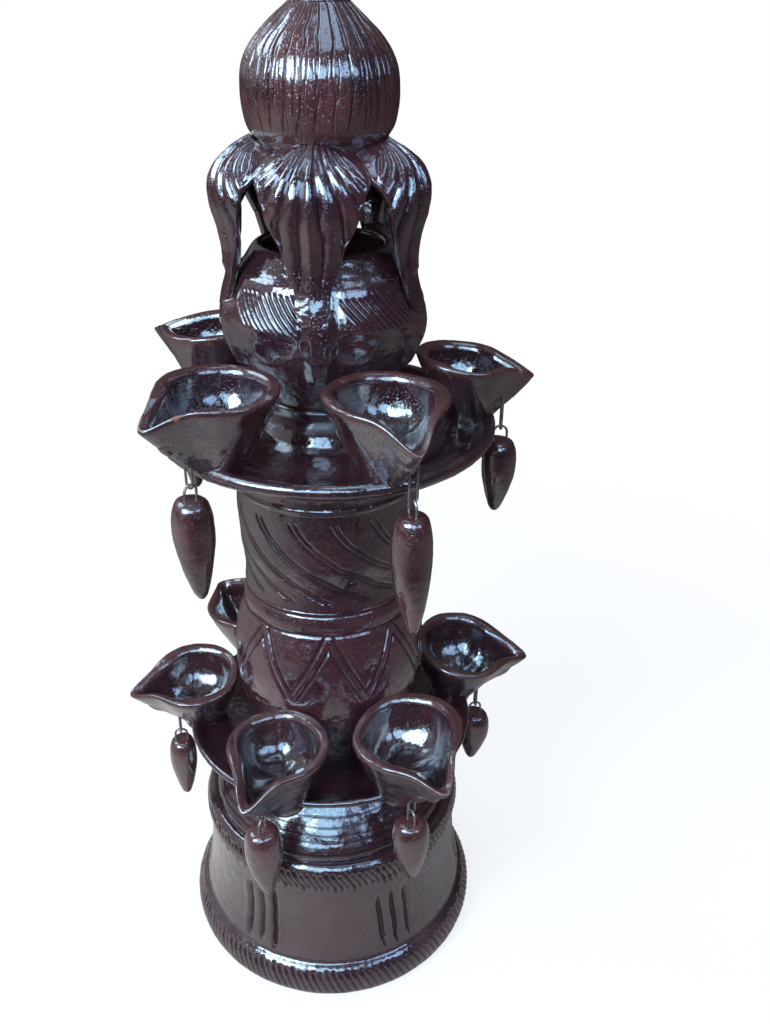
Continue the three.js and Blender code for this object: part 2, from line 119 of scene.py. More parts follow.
# Each bowl's own place: azimuth, radius and height of the rim's centre, outward tilt, sideways roll, turn
# of the spout, size, dip of the spout, azimuth of its hanging drop, that drop's length and greatest radius
BOWL_FIELDS = ("tier", "az", "r", "z", "tilt", "roll", "yaw", "size", "dip", "hang", "drop", "fat")
BOWLS = [dict(zip(BOWL_FIELDS, row)) for row in (
    (UPPER, -42, 83, 436, -1, 2, -5, 1.03, 10.5, -44, 62, 11.6),
    (UPPER, 21, 84.5, 438, 0, 1, -5, 1.05, 12, 25, 78, 11.5),
    (UPPER, 90, 80.5, 429, 6, 0, 2, 0.89, 7, 88, 50, 11),
    (UPPER, 162, 83, 433, 3, 0, 0, 1, 8, 162, 58, 11),
    (UPPER, -125, 82.5, 434, 4, 1, 1, 1, 7, -124, 60, 11),
    (LOWER, -20, 93.5, 219, 1, 1, -5, 0.97, 13, -25, 56, 11.5),
    (LOWER, 28, 96.5, 224, -2, -9, -5, 1.06, 10, 28, 52, 11.4),
    (LOWER, 102, 94.5, 210, 6, -10, -9, 1, 8, 97, 45, 10.5),
    (LOWER, 158, 94.5, 212, 2, 0, 0, 1, 8, 158, 50, 11),
    (LOWER, -143, 95.5, 212, 2, 4, -4, 1.04, 7, -144, 50, 11),
    (LOWER, -90, 91.5, 205, 4, 8, 8, 0.93, 7, -86, 48, 9.8),
)]

# A leaf from its tip on the pot up to the collar: radius, height, half width of the leaf with its web,
# half width of the ribbed blade, and how far its outermost rib has fanned out, in degrees round the axis
LEAF_COUNT = 5
FIRST_LEAF = -6.5
LEAF_THICKNESS = 4.0
LEAF_RIBS = 7
LEAF_TIP = 484.0
LEAF = [
    [58.8, 464.6, 5, 5, 46], [57.4, 471, 9, 9, 46], [54.6, 481, 10.4, 10.4, 47], [53.6, 491, 14, 14, 47],
    [55.4, 504, 20.5, 20.5, 45], [59, 518, 26.5, 26.5, 40], [58.8, 529, 30.5, 29.5, 33],
    [53.8, 538.5, 36.2, 31, 25], [45.5, 545.4, 36.3, 26, 18], [36.6, 549.9, 36.4, 11, 13],
]


# Node trees, for shapes and for finishes

def arithmetic(operation, swapped=False):
    """A method of Value that adds one Math node; swapped puts the other value first."""
    def method(value, *others):
        return value.tree.calc(operation, *((*others, value) if swapped else (value, *others)))
    return method


class Value:
    """A value inside a node tree. Arithmetic with it adds Math nodes to that tree."""

    def __init__(self, tree, socket):
        self.tree = tree
        self.socket = socket

    __add__ = arithmetic("ADD")
    __sub__ = arithmetic("SUBTRACT")
    __rsub__ = arithmetic("SUBTRACT", swapped=True)
    __mul__ = arithmetic("MULTIPLY")
    __truediv__ = arithmetic("DIVIDE")
    __rtruediv__ = arithmetic("DIVIDE", swapped=True)
    __pow__ = arithmetic("POWER")
    __abs__ = arithmetic("ABSOLUTE")

    def __neg__(self):
        return self * -1.0


class Tree:
    """Short ways to add nodes to one node group and join them."""

    def __init__(self, group):
        self.group = group

    def add(self, kind, inputs=(), **settings):
        node = self.group.nodes.new(kind)
        for key, value in settings.items():
            setattr(node, key, value)
        for key, value in dict(inputs).items():
            if isinstance(value, Value):
                self.group.links.new(value.socket, node.inputs[key])
            else:
                node.inputs[key].default_value = value
        return node

    def out(self, kind, inputs=(), output=0, **settings):
        """A new node's output, by its number or its name."""
        return Value(self, self.add(kind, inputs, **settings).outputs[output])

    def outs(self, kind, inputs=(), **settings):
        """All of a new node's outputs, by name."""
        return {socket.name: Value(self, socket) for socket in self.add(kind, inputs, **settings).outputs}

    def calc(self, operation, *values, clamp=False):
        return self.out("ShaderNodeMath", enumerate(values), operation=operation, use_clamp=clamp)

    def most(self, first, second):
        """The larger of two values."""
        return self.calc("MAXIMUM", first, second)

    def ease(self, value, start, end, low=0.0, high=1.0, kind="SMOOTHSTEP"):
        """Runs from low to high while value runs from start to end."""
        return self.out("ShaderNodeMapRange", {
            "Value": value, "From Min": start, "From Max": end, "To Min": low, "To Max": high,
        }, interpolation_type=kind)

    def fall(self, value, start, end):
        """Runs from 1 to 0 while value runs from start to end."""
        return self.ease(value, start, end, 1.0, 0.0)

    def between(self, value, low, high, soft):
        """1 between low and high, and 0 outside them, with soft ends."""
        return self.ease(value, low, low + soft) * self.fall(value, high - soft, high)

    def vector(self, x, y, z):
        return self.out("ShaderNodeCombineXYZ", {0: x, 1: y, 2: z})

    def split(self, vector):
        return list(self.outs("ShaderNodeSeparateXYZ", {0: vector}).values())

    def mixed(self, factor, first, second):
        """A colour between two others."""
        return self.out("ShaderNodeMix", {0: factor, 6: first, 7: second}, 2, data_type="RGBA")

    def noise(self, vector, scale, detail=2.0, seed=0.0, rough=0.5):
        return self.out("ShaderNodeTexNoise", {
            "Vector": vector, "Scale": scale, "Detail": detail, "Roughness": rough, "W": seed,
        }, noise_dimensions="4D")

    def place(self):
        """Where a point of a shape is."""
        return self.out("GeometryNodeInputPosition")

    def spot(self):
        """Where a shaded point lies on its object."""
        return self.out("ShaderNodeTexCoord", output="Object")

    def sway(self, scale, seed, reach):
        """A soft random wander of a line, up to about reach either way."""
        return (self.noise(self.place(), scale, 1.0, seed) - 0.5) * 2.0 * reach


SOCKET_KINDS = {int: "NodeSocketInt", float: "NodeSocketFloat", tuple: "NodeSocketColor"}


def open_group(name, kind, inputs, outputs):
    """A new node group with named inputs, given by a first value or a kind, and its Group Input."""
    group = bpy.data.node_groups.new(name, kind)
    for label, value in inputs.items():
        socket_type = SOCKET_KINDS.get(type(value), value)
        socket = group.interface.new_socket(label, in_out="INPUT", socket_type=socket_type)
        if socket_type != value:
            socket.default_value = value
    for label, socket_type in outputs.items():
        group.interface.new_socket(label, in_out="OUTPUT", socket_type=socket_type)
    tree = Tree(group)
    return tree, tree.outs("NodeGroupInput")


def open_shape(name, sizes):
    """A Geometry Nodes tree that works on a piece, with its sizes and its finish as named inputs."""
    geometry = {"Geometry": "NodeSocketGeometry"}
    inputs = {**geometry, **sizes, "Finish": "NodeSocketMaterial"}
    return open_group(name, "GeometryNodeTree", inputs, geometry)


def close_shape(tree, given, geometry):
    """Ends a shape tree in a real mesh that wears the given finish."""
    whole = tree.out("GeometryNodeRealizeInstances", {"Geometry": geometry})
    coloured = tree.out("GeometryNodeSetMaterial", {"Geometry": whole, "Material": given["Finish"]})
    tree.add("NodeGroupOutput", {"Geometry": coloured})
    return tree.group


def mark(tree, name):
    """The value that each point of the mesh carries under this name."""
    return tree.out("GeometryNodeInputNamedAttribute", {"Name": name})


def round_the_axis(tree):
    """Azimuth in radians, radius and height of each point."""
    x, y, height = tree.split(tree.place())
    x = x - float(AXIS[0])
    y = y - float(AXIS[1])
    return tree.calc("ARCTAN2", x, -y), tree.calc("SQRT", x * x + y * y), height


def pressed(tree, given, depth, cut=None):
    """Moves the points by depth along their normals and keeps the cut's strength as a mark."""
    geometry = given["Geometry"]
    if cut is not None:
        geometry = tree.out("GeometryNodeStoreNamedAttribute", {
            "Geometry": geometry, "Name": "cut", "Value": tree.most(mark(tree, "cut"), cut),
        })
    move = tree.out("ShaderNodeVectorMath", {
        0: tree.out("GeometryNodeInputNormal"), "Scale": depth * mark(tree, "outside"),
    }, operation="SCALE")
    moved = tree.out("GeometryNodeSetPosition", {"Geometry": geometry, "Offset": move})
    return close_shape(tree, given, moved)


def build_uneven_skin():
    """The soft lumps that hands and a slow wheel leave."""
    tree, given = open_shape("uneven skin", {"Size": 0.03, "Depth": 0.0005, "Along": 1.0, "Seed": 0.0})
    x, y, z = tree.split(tree.place())
    drawn = tree.vector(x, y, z * given["Along"])
    value = tree.noise(drawn, 1.0 / given["Size"], 1.5, given["Seed"])
    return pressed(tree, given, (value - 0.5) * given["Depth"] * 2.0)


def folded_azimuth(tree, azimuth, first, groups):
    """The azimuth from the nearest of some even groups, in radians, and that group's number."""
    from_first = azimuth - tree.calc("RADIANS", first)
    cell = 2 * math.pi / groups
    number = tree.calc("ROUND", from_first / cell)
    return from_first - number * cell, number


# What every cut line has
LINE = {"Width": 0.001, "Depth": 0.001, "Waver": 0.0, "Seed": 0.0}


def build_slanting_cuts():
    """Groups of parallel cuts that lean round the axis as they go down."""
    tree, given = open_shape("slanting cuts", {
        "Groups": 1, "Lines": 60, "Step": 6.0, "First": 0.0, "Low": 0.0, "High": 0.1, "Turn": 0.0,
        "Bend": 1.0, "Burr": 0.0, "Ragged": 0.0, "Fade": 0.003, "Panel": 200.0, **LINE,
    })
    azimuth, radius, height = round_the_axis(tree)
    turn, step, panel = (tree.calc("RADIANS", given[key]) for key in ("Turn", "Step", "Panel"))
    bend, first, width = given["Bend"], given["First"], given["Width"]
    span = given["High"] - given["Low"]
    down = tree.calc("DIVIDE", given["High"] - height, span, clamp=True)
    straight, _ = folded_azimuth(tree, azimuth, first, given["Groups"])
    sway = tree.sway(45.0, given["Seed"], given["Waver"]) / radius
    leaning = azimuth - turn * down ** bend + sway
    folded, group = folded_azimuth(tree, leaning, first, given["Groups"])
    last = given["Lines"] - 1.0
    half = last * 0.5
    line = tree.calc("MINIMUM", tree.most(tree.calc("ROUND", folded / step + half), 0.0), last)
    number = line + group * 37.0
    chance = tree.out("FunctionNodeRandomValue", {"ID": number, "Seed": 3}, 1)
    slope = turn * bend * down ** (bend - 1.0) / span
    across = 1.0 / radius
    away = abs(folded - (line - half) * step) / tree.calc("SQRT", across * across + slope * slope)
    shorter = chance * given["Ragged"]
    ends = tree.between(height, given["Low"] + shorter, given["High"] - shorter, given["Fade"])
    inside = tree.fall(abs(straight), panel - 0.03, panel)
    reach = ends * inside * tree.ease(chance, 0.0, 1.0, 1.0, 0.75, "LINEAR")
    valley = tree.fall(away, 0.0, width) * reach
    shoulder = tree.ease(away, width * 0.7, width * 1.3) * tree.fall(away, width * 1.5, width * 2.4)
    return pressed(tree, given, shoulder * reach * given["Burr"] - valley * given["Depth"], valley)


def build_zigzag():
    """Two parallel cut lines that run up and down round the axis."""
    tree, given = open_shape("zigzag", {
        "Peaks": 8, "First": 0.0, "Low": 0.0, "High": 0.1, "Gap": 0.004, **LINE,
    })
    azimuth, radius, height = round_the_axis(tree)
    low, high = given["Low"], given["High"]
    folded, _ = folded_azimuth(tree, azimuth, given["First"], given["Peaks"])
    cell = math.pi / given["Peaks"]
    span = high - low
    line = high - span * (abs(folded) / cell) + tree.sway(40.0, given["Seed"], given["Waver"])
    slope = span / (radius * cell)
    middle = abs(height - line) / tree.calc("SQRT", slope * slope + 1.0)
    away = abs(middle - given["Gap"] * 0.5)
    reach = tree.ease(height, low, low + MM) * tree.fall(height, high, high + MM)
    valley = tree.fall(away, 0.0, given["Width"]) * reach
    return pressed(tree, given, -(valley * given["Depth"]), valley)


def build_ring_line():
    """One line cut all the way round at a height; a negative depth raises a ridge."""
    tree, given = open_shape("ring line", {"Height": 0.1, **LINE})
    _, _, height = round_the_axis(tree)
    line = given["Height"] + tree.sway(25.0, given["Seed"], given["Waver"])
    valley = tree.fall(abs(height - line), 0.0, given["Width"])
    cut = valley * tree.calc("GREATER_THAN", given["Depth"], 0.0)
    return pressed(tree, given, -(valley * given["Depth"]), cut)


def build_raised_panels():
    """Soft-edged raised patches, evenly spaced round the axis."""
    tree, given = open_shape("raised panels", {
        "Groups": 5, "First": 0.0, "Half": 20.0, "Low": 0.0, "High": 0.1, "Soft": 0.003, "Rise": 0.001,
    })
    azimuth, radius, height = round_the_axis(tree)
    folded, _ = folded_azimuth(tree, azimuth, given["First"], given["Groups"])
    half = tree.calc("RADIANS", given["Half"])
    inside = tree.fall(abs(folded), half - given["Soft"] / radius, half)
    inside = inside * tree.between(height, given["Low"], given["High"], given["Soft"])
    return pressed(tree, given, inside * given["Rise"])


def build_leaf_ribs():
    """Round ribs with sharp valleys between them, across a blade whose width is marked on the mesh."""
    tree, given = open_shape("leaf ribs", {"Ribs": 9, "Depth": 0.0025, "Fullness": 2.6, "Waver": 0.12})
    fan = mark(tree, "fan") + tree.sway(60.0, 4.0, 0.5) * given["Waver"]
    phase = tree.calc("FRACT", (fan + 1.0) * (given["Ribs"] * 0.5))
    fall = abs(phase * 2.0 - 1.0) ** given["Fullness"]
    edge = abs(mark(tree, "across"))
    swell = mark(tree, "swell")
    on_blade = tree.fall(edge, 0.96, 1.02)
    sunk = -(fall * on_blade * swell * given["Depth"])
    off_blade = tree.ease(edge, 1.0, 1.08) * swell * given["Depth"] * -0.5
    return pressed(tree, given, sunk + off_blade, tree.ease(fall, 0.6, 1.0) * on_blade * swell)


def build_wire_bend():
    """A U of round wire: a left and a right leg and a half-round bend, turned to a heading."""
    tree, given = open_shape("wire bend", {
        "Half": 0.0025, "Left": 0.01, "Right": 0.01, "Wire": 0.00075, "Heading": 0.0, "Upwards": 1.0,
        "X": 0.0, "Y": 0.0, "Z": 0.0,
    })
    half = given["Half"]
    line = tree.out("GeometryNodeCurvePrimitiveLine")
    path = tree.out("GeometryNodeResampleCurve", {"Curve": line, "Count": 34})
    part = tree.out("GeometryNodeSplineParameter", output="Factor")
    arc = half * math.pi
    run = part * (given["Left"] + given["Right"] + arc) - given["Left"]
    turned_by = tree.calc("MINIMUM", tree.most(run / half, 0.0), math.pi)
    leg = tree.most(tree.most(-run, run - arc), 0.0)
    rise = leg - tree.calc("SINE", turned_by) * half
    spot = tree.vector(-(tree.calc("COSINE", turned_by) * half), 0.0, rise * given["Upwards"])
    bent = tree.out("GeometryNodeSetPosition", {"Geometry": path, "Position": spot})
    section = tree.out("GeometryNodeCurvePrimitiveCircle", {"Resolution": 10, "Radius": given["Wire"]})
    wire = tree.out("GeometryNodeCurveToMesh", {"Curve": bent, "Profile Curve": section, "Fill Caps": True})
    placed = tree.out("GeometryNodeTransform", {
        "Geometry": wire, "Rotation": tree.vector(0.0, 0.0, tree.calc("RADIANS", given["Heading"])),
        "Translation": tree.vector(given["X"], given["Y"], given["Z"]),
    })
    smooth = tree.out("GeometryNodeSetShadeSmooth", {"Geometry": placed})
    return close_shape(tree, given, smooth)


UNEVEN = build_uneven_skin()
CUTS = build_slanting_cuts()
ZIGZAG = build_zigzag()
RING = build_ring_line()
PANELS = build_raised_panels()
RIBS = build_leaf_ribs()
WIRE = build_wire_bend()


def work(piece, shape, **sizes):
    """One pass of a shape tree over a piece; its inputs are set by their identifiers."""
    step = piece.modifiers.new(shape.name, "NODES")
    step.node_group = shape
    for item in shape.interface.items_tree:
        if item.name in sizes:
            step[item.identifier] = type(item.default_value)(sizes[item.name])


def settle(piece, finish):
    """Gives each pass the finish, and turns the worked piece into a plain mesh."""
    for step in piece.modifiers:
        step[step.node_group.interface.items_tree["Finish"].identifier] = finish
    graph = bpy.context.evaluated_depsgraph_get()
    worked = piece.evaluated_get(graph)
    plain = bpy.data.meshes.new_from_object(worked, preserve_all_data_layers=True, depsgraph=graph)
    rough = piece.data
    piece.modifiers.clear()
    piece.data = plain
    bpy.data.meshes.remove(rough)
    plain.name = piece.name


def give(piece, node, finish, body="root"):
    """Hands a finished piece to the frame in place of its CAD node."""
    settle(piece, finish)
    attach(piece, body)
    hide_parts(node)


# Finishes

FLECK = (0.26, 0.15, 0.12, 1.0)
WORN_GLAZE = (0.095, 0.032, 0.024, 1.0)
# Painted shade: a nearly black colour laid into the bowls' hollows.
HOLLOW_SHADE = (0.008, 0.0025, 0.004, 1.0)
BARE_CLAY = (0.22, 0.066, 0.036, 1.0)
BRIGHT_WIRE = (0.42, 0.38, 0.35, 1.0)
RUSTY_WIRE = (0.11, 0.065, 0.05, 1.0)
SEEN_FLOOR = (0.95, 0.93, 0.9, 1.0)
SKY_TINT = (0.98, 0.93, 1.0, 1.0)
WHITE = (1.0, 1.0, 1.0, 1.0)


def build_glaze_colour():
    """Dark iron glaze: nearly black where it pools, redder where it runs thin, with fine pale flecks, and
    painted shade in cut lines.
    """
    tree, given = open_group("glaze colour", "ShaderNodeTree", {
        "Pooled": (0.02, 0.01, 0.01, 1.0), "Thin": (0.08, 0.03, 0.02, 1.0), "Thinness": 0.4,
        "Cut": 0.0, "Flecks": 0.5, "Seed": 0.0,
    }, {"Colour": "NodeSocketColor"})
    place = tree.spot()
    broad = tree.noise(place, 38.0, 4.0, given["Seed"], 0.6)
    fine = tree.noise(place, 420.0, 3.0, given["Seed"], 0.65)
    thin = tree.ease(broad * 0.7 + fine * 0.3, 0.38, 0.66)
    # Painted shade: inside cut lines the colour is pushed towards the pooled colour, so the cuts read dark.
    kept = 1.0 - given["Cut"] * 0.7
    base = tree.mixed(thin * given["Thinness"] * kept, given["Pooled"], given["Thin"])
    specks = tree.out("ShaderNodeTexVoronoi", {"Vector": place, "Scale": 900.0}, "Distance")
    dots = tree.fall(specks, 0.12, 0.26) * tree.ease(fine, 0.5, 0.62) * given["Flecks"]
    tree.add("NodeGroupOutput", {"Colour": tree.mixed(dots, base, FLECK)})
    return tree.group


def build_glaze_skin():
    """Height of the glaze's surface, orange peel, pinholes and grit, and how rough it is."""
    tree, given = open_group("glaze skin", "ShaderNodeTree", {
        "Ripple": 0.5, "Grit": 0.5, "Polish": 0.15, "Dull": 0.4, "Seed": 0.0,
    }, {"Height": "NodeSocketFloat", "Roughness": "NodeSocketFloat"})
    place = tree.spot()
    ripple = tree.noise(place, 260.0, 3.0, given["Seed"], 0.6)
    lumps = tree.ease(tree.noise(place, 900.0, 2.0, given["Seed"], 0.6), 0.58, 0.75)
    pits = tree.out("ShaderNodeTexVoronoi", {"Vector": place, "Scale": 420.0}, "Distance")
    pinholes = tree.ease(pits, 0.06, 0.16, -0.6, 0.0)
    height = ripple * given["Ripple"] + lumps * given["Grit"] + pinholes * given["Grit"]
    patches = tree.ease(tree.noise(place, 70.0, 3.0, given["Seed"], 0.6), 0.42, 0.68)
    rough = given["Polish"] + patches * (given["Dull"] - given["Polish"])
    tree.add("NodeGroupOutput", {"Height": height, "Roughness": rough})
    return tree.group


def build_bare_patches():
    """Where the glaze has left the clay bare, on the marked edges only."""
    tree, given = open_group("bare patches", "ShaderNodeTree", {
        "Edge": 0.0, "Amount": 0.5, "Seed": 0.0,
    }, {"Bare": "NodeSocketFloat"})
    place = tree.spot()
    patches = tree.noise(place, 55.0, 3.0, given["Seed"], 0.6)
    crumbs = tree.noise(place, 600.0, 2.0, given["Seed"])
    start = 0.86 - given["Amount"] * 0.4
    bare = tree.ease(patches * 0.75 + crumbs * 0.25, start, start + 0.06)
    tree.add("NodeGroupOutput", {"Bare": bare * given["Edge"]})
    return tree.group


GLAZE_COLOUR = build_glaze_colour()
GLAZE_SKIN = build_glaze_skin()
BARE_PATCHES = build_bare_patches()


def open_material(name):
    material = bpy.data.materials.new(name)
    material.use_nodes = True
    material.node_tree.nodes.clear()
    return material, Tree(material.node_tree)


def close_material(tree, bump, inputs):
    """Joins a bump and the named values to a Principled shader and that to the output."""
    normal = tree.out("ShaderNodeBump", bump)
    shader = tree.out("ShaderNodeBsdfPrincipled", {**inputs, "Normal": normal, "Coat Normal": normal})
    tree.add("ShaderNodeOutputMaterial", {"Surface": shader})


def glazed_clay(name, pooled, thin, thinness, flecks, seed, dull=0.26, grit=0.2, bare=0.3):
    """Glazed terracotta; marks on the mesh say where it is cut and may be bare, and where the bowls' hollows
    get painted shade.
    """
    material, tree = open_material(name)
    cut, edge, pool = (
        tree.out("ShaderNodeAttribute", output="Fac", attribute_name=key) for key in ("cut", "bare", "pool")
    )
    colour = tree.out("ShaderNodeGroup", {
        "Pooled": (*pooled, 1.0), "Thin": (*thin, 1.0), "Thinness": thinness, "Cut": cut, "Flecks": flecks,
        "Seed": seed,
    }, node_tree=GLAZE_COLOUR)
    skin = tree.outs("ShaderNodeGroup", {
        "Ripple": 0.45, "Grit": grit, "Polish": 0.08, "Dull": dull, "Seed": seed,
    }, node_tree=GLAZE_SKIN)
    clay = tree.out("ShaderNodeGroup", {"Edge": edge, "Amount": bare, "Seed": seed}, node_tree=BARE_PATCHES)
    warm = tree.mixed(edge * 0.35, colour, WORN_GLAZE)
    # Painted shade: the marked hollows are darkened towards near black.
    shaded = tree.mixed(pool * 0.75, warm, HOLLOW_SHADE)
    worn = tree.ease(edge, 0.0, 1.0, 1.0, 0.55, "LINEAR")
    bump = {"Height": skin["Height"], "Strength": 0.8, "Distance": 0.0006}
    close_material(tree, bump, {
        "Base Color": tree.mixed(clay, shaded, BARE_CLAY),
        "Roughness": tree.ease(clay, 0.0, 1.0, skin["Roughness"], 0.75, "LINEAR"),
        "Coat Weight": tree.fall(clay, 0.0, 0.5) * tree.ease(cut, 0.1, 0.9, 1.0, 0.15) * worn,
        "Specular IOR Level": tree.ease(cut, 0.1, 0.9, 0.5, 0.2),
        "IOR": 1.6, "Coat Roughness": 0.04, "Coat IOR": 1.75,
    })
    return material


def iron_wire(name):
    """Thin soft binding wire, dulled and browned by the kiln."""
    material, tree = open_material(name)
    place = tree.spot()
    rust = tree.ease(tree.noise(place, 500.0, 3.0, 2.0, 0.6), 0.42, 0.62)
    close_material(tree, {"Height": rust, "Strength": 0.4, "Distance": 0.0001}, {
        "Base Color": tree.mixed(rust, BRIGHT_WIRE, RUSTY_WIRE),
        "Roughness": tree.ease(rust, 0.0, 1.0, 0.32, 0.6, "LINEAR"),
        "Metallic": tree.ease(rust, 0.0, 1.0, 1.0, 0.55, "LINEAR"),
    })
    return material


POOLED = (0.019, 0.0062, 0.0095)
THIN = (0.085, 0.026, 0.028)
body_glaze = glazed_clay("body_glaze", POOLED, THIN, thinness=0.5, flecks=0.04, seed=1.0)
barrel_glaze = glazed_clay("barrel_glaze", (0.034, 0.0095, 0.013), (0.1, 0.028, 0.03), thinness=0.6,
                           flecks=0.04, seed=7.0)
base_glaze = glazed_clay("base_glaze", (0.021, 0.0075, 0.0105), (0.085, 0.03, 0.032), thinness=0.5,
                         dull=0.3, flecks=0.03, bare=0.2, seed=2.0)
leaf_glaze = glazed_clay("leaf_glaze", POOLED, THIN, thinness=0.6, flecks=0.03, seed=3.0)
husk_glaze = glazed_clay("husk_glaze", (0.022, 0.0075, 0.0105), (0.11, 0.034, 0.03), thinness=0.7,
                         flecks=0.08, grit=0.3, bare=0.55, seed=4.0)
bowl_glaze = glazed_clay("bowl_glaze", (0.019, 0.0062, 0.009), (0.095, 0.03, 0.03), thinness=0.55,
                         flecks=0.12, bare=0.62, seed=5.0)
drop_glaze = glazed_clay("drop_glaze", (0.026, 0.008, 0.0105), (0.1, 0.03, 0.03), thinness=0.8,
                         flecks=0.08, dull=0.3, bare=0.55, seed=6.0)
wire_finish = iron_wire("binding_wire")


# Meshes

def new_object(name, data):
    piece = bpy.data.objects.new(name, data)
    bpy.context.scene.collection.objects.link(piece)
    return piece


def through(points, count):
    """Count points, evenly spaced, on a smooth line through the given ones."""
    points = np.array(points, float)
    steps = np.linalg.norm(np.diff(points[:, :2], axis=0), axis=1)
    knots = np.concatenate([[0], np.cumsum(steps)])
    slopes = np.gradient(points, knots, axis=0)
    wanted = np.linspace(0, knots[-1], count)
    k = np.clip(np.searchsorted(knots, wanted, "right") - 1, 0, len(steps) - 1)
    t = ((wanted - knots[k]) / steps[k])[:, None]
    h = steps[k][:, None]
    return (
        (2 * t ** 3 - 3 * t ** 2 + 1) * points[k] + (t ** 3 - 2 * t ** 2 + t) * h * slopes[k]
        + (3 * t ** 2 - 2 * t ** 3) * points[k + 1] + (t ** 3 - t ** 2) * h * slopes[k + 1]
    )


def outwards(azimuth):
    a = np.radians(azimuth)
    return np.stack([np.sin(a), -np.cos(a), np.zeros_like(a)], -1)


def sideways(azimuth):
    a = np.radians(azimuth)
    return np.stack([np.cos(a), np.sin(a), np.zeros_like(a)], -1)


def at(azimuth, radius, height):
    """Points round the axis, for any mix of single values and rows of them."""
    azimuth, radius, height = np.broadcast_arrays(*np.atleast_1d(azimuth, radius, height))
    points = outwards(azimuth) * radius[..., None]
    points[..., 2] = height
    return points


def skin(name, rings, joined=False, **marks):
    """A closed smooth mesh over rows of equal rings, each anticlockwise seen from the next row's side.

    The last row joins the first, or a middle point closes each end. A mark is one value, or one for each
    row, or one for each point.
    """
    rows, around = rings.shape[:2]
    points = rings.reshape(-1, 3)
    index = np.arange(rows * around).reshape(rows, around)
    values = {}
    for key, value in marks.items():
        column = np.reshape(value, np.shape(value) + (1,) * (2 - np.ndim(value)))
        values[key] = np.broadcast_to(column, (rows, around)).ravel()
    if joined:
        index = np.vstack([index, index[:1]])
    here, there = index[:-1], index[1:]
    faces = np.stack([here, np.roll(here, -1, 1), np.roll(there, -1, 1), there], -1).reshape(-1, 4).tolist()
    if not joined:
        for row, ahead in ((index[0], -1), (index[-1], 1)):
            middle = np.full(around, len(points))
            points = np.vstack([points, points[row].mean(0)])
            values = {key: np.append(value, value[row[0]]) for key, value in values.items()}
            pair = (row, np.roll(row, -1))[::ahead]
            faces += np.stack([*pair, middle], -1).tolist()
    mesh = bpy.data.meshes.new(name)
    mesh.from_pydata((points * MM + AXIS).tolist(), [], faces)
    blank = dict.fromkeys(("outside", "cut", "bare"), np.zeros(len(points)))
    for key, value in {**blank, **values}.items():
        layer = mesh.attributes.new(key, "FLOAT", "POINT")
        layer.data.foreach_set("value", np.asarray(value, np.float32))
    mesh.shade_smooth()
    return new_object(name, mesh)


def all_round(count):
    """Even azimuths all the way round."""
    return np.arange(count) * 360 / count


def turned(name, outside, inside, around, wobble, seed, **marks):
    """A hollow turned section; wobble is how far its outside runs out of round."""
    profile = np.vstack([outside, inside])
    is_outside = np.r_[np.ones(len(outside)), np.zeros(len(inside))]
    azimuth = all_round(around)
    oval, corners = np.radians(2 * azimuth + 57 * seed), np.radians(3 * azimuth + 91 * seed)
    lean = wobble * (np.sin(oval) + 0.5 * np.sin(corners))
    radius = profile[:, :1] + lean * is_outside[:, None]
    return skin(name, at(azimuth, radius, profile[:, 1:2]), joined=True, outside=is_outside, **marks)


def mm(**sizes):
    """Sizes in metres, given in millimetres."""
    return {key: value * MM for key, value in sizes.items()}


def lumps(piece, broad, fine=None, drawn=1.0):
    """Soft lumps pressed into a piece, as (size, depth, seed); drawn packs the broad ones upwards."""
    for lump, along in ((broad, drawn), (fine, 1.0)):
        if lump:
            work(piece, UNEVEN, Along=along, Seed=lump[2], **mm(Size=lump[0], Depth=lump[1]))


# The turned sections, from the table up

NOTCHES = 132
SIDES_PER_NOTCH = 6


def make_base_bell():
    """Bell with rope-notched beads at its foot and its top, and groups of three slashes down its wall."""
    stretches = ((FOOT_BEAD, 32), (FOOT_GROOVE, 7), (BELL_WALL, 42), (TOP_BEAD, 34))
    outside = np.vstack([FOOT_BEAD[:1], *(through(points, count)[1:] for points, count in stretches)])
    piece = turned("bell_with_beads", outside, through(BELL_INSIDE, 9), NOTCHES * SIDES_PER_NOTCH, 0.35, 1)
    lumps(piece, (35, 0.45, 1), (6, 0.3, 21), 1.6)
    for low, high, turn, depth in ((5, 26, 5.0, 1.2), (88.5, 109.5, 5.4, 1.9)):
        work(piece, CUTS, Lines=NOTCHES, Step=360 / NOTCHES, Turn=turn, Seed=2,
             **mm(Low=low, High=high, Width=1.7, Depth=depth, Waver=0.5, Ragged=2.2, Fade=3))
    work(piece, CUTS, Groups=6, Lines=3, Step=6.4, First=26, Turn=1.5, Bend=1.5, Seed=3,
         **mm(Low=27, High=86, Width=2.9, Depth=3.6, Burr=0.4, Waver=1.6, Ragged=6, Fade=10))
    give(piece, "base_bell", base_glaze)


def make_base_dome():
    """Dome under the lower tray, with faint throwing rings."""
    piece = turned("dome", through(DOME, 60), through(DOME_INSIDE, 10), 360, 0.5, 2)
    lumps(piece, (28, 1.3, 5), (6, 0.35, 22))
    for seed, height in enumerate((116.5, 119.5, 122.8, 126.4, 130.5, 135.5)):
        work(piece, RING, Seed=seed, **mm(Height=height, Width=1.3, Depth=0.045, Waver=0.8))
    give(piece, "base_shoulder", base_glaze)


def make_tray(name, node, outline, bottom, wobble, seed):
    """A dished plate with a thin raised lip."""
    inner = outline[-1][0]
    underside = [[inner, bottom], [inner + 14, bottom]]
    piece = turned(name, through(outline, 64), underside, 360, wobble, seed)
    lumps(piece, (22, 0.9, seed), (5, 0.3, seed + 60))
    give(piece, node, body_glaze)


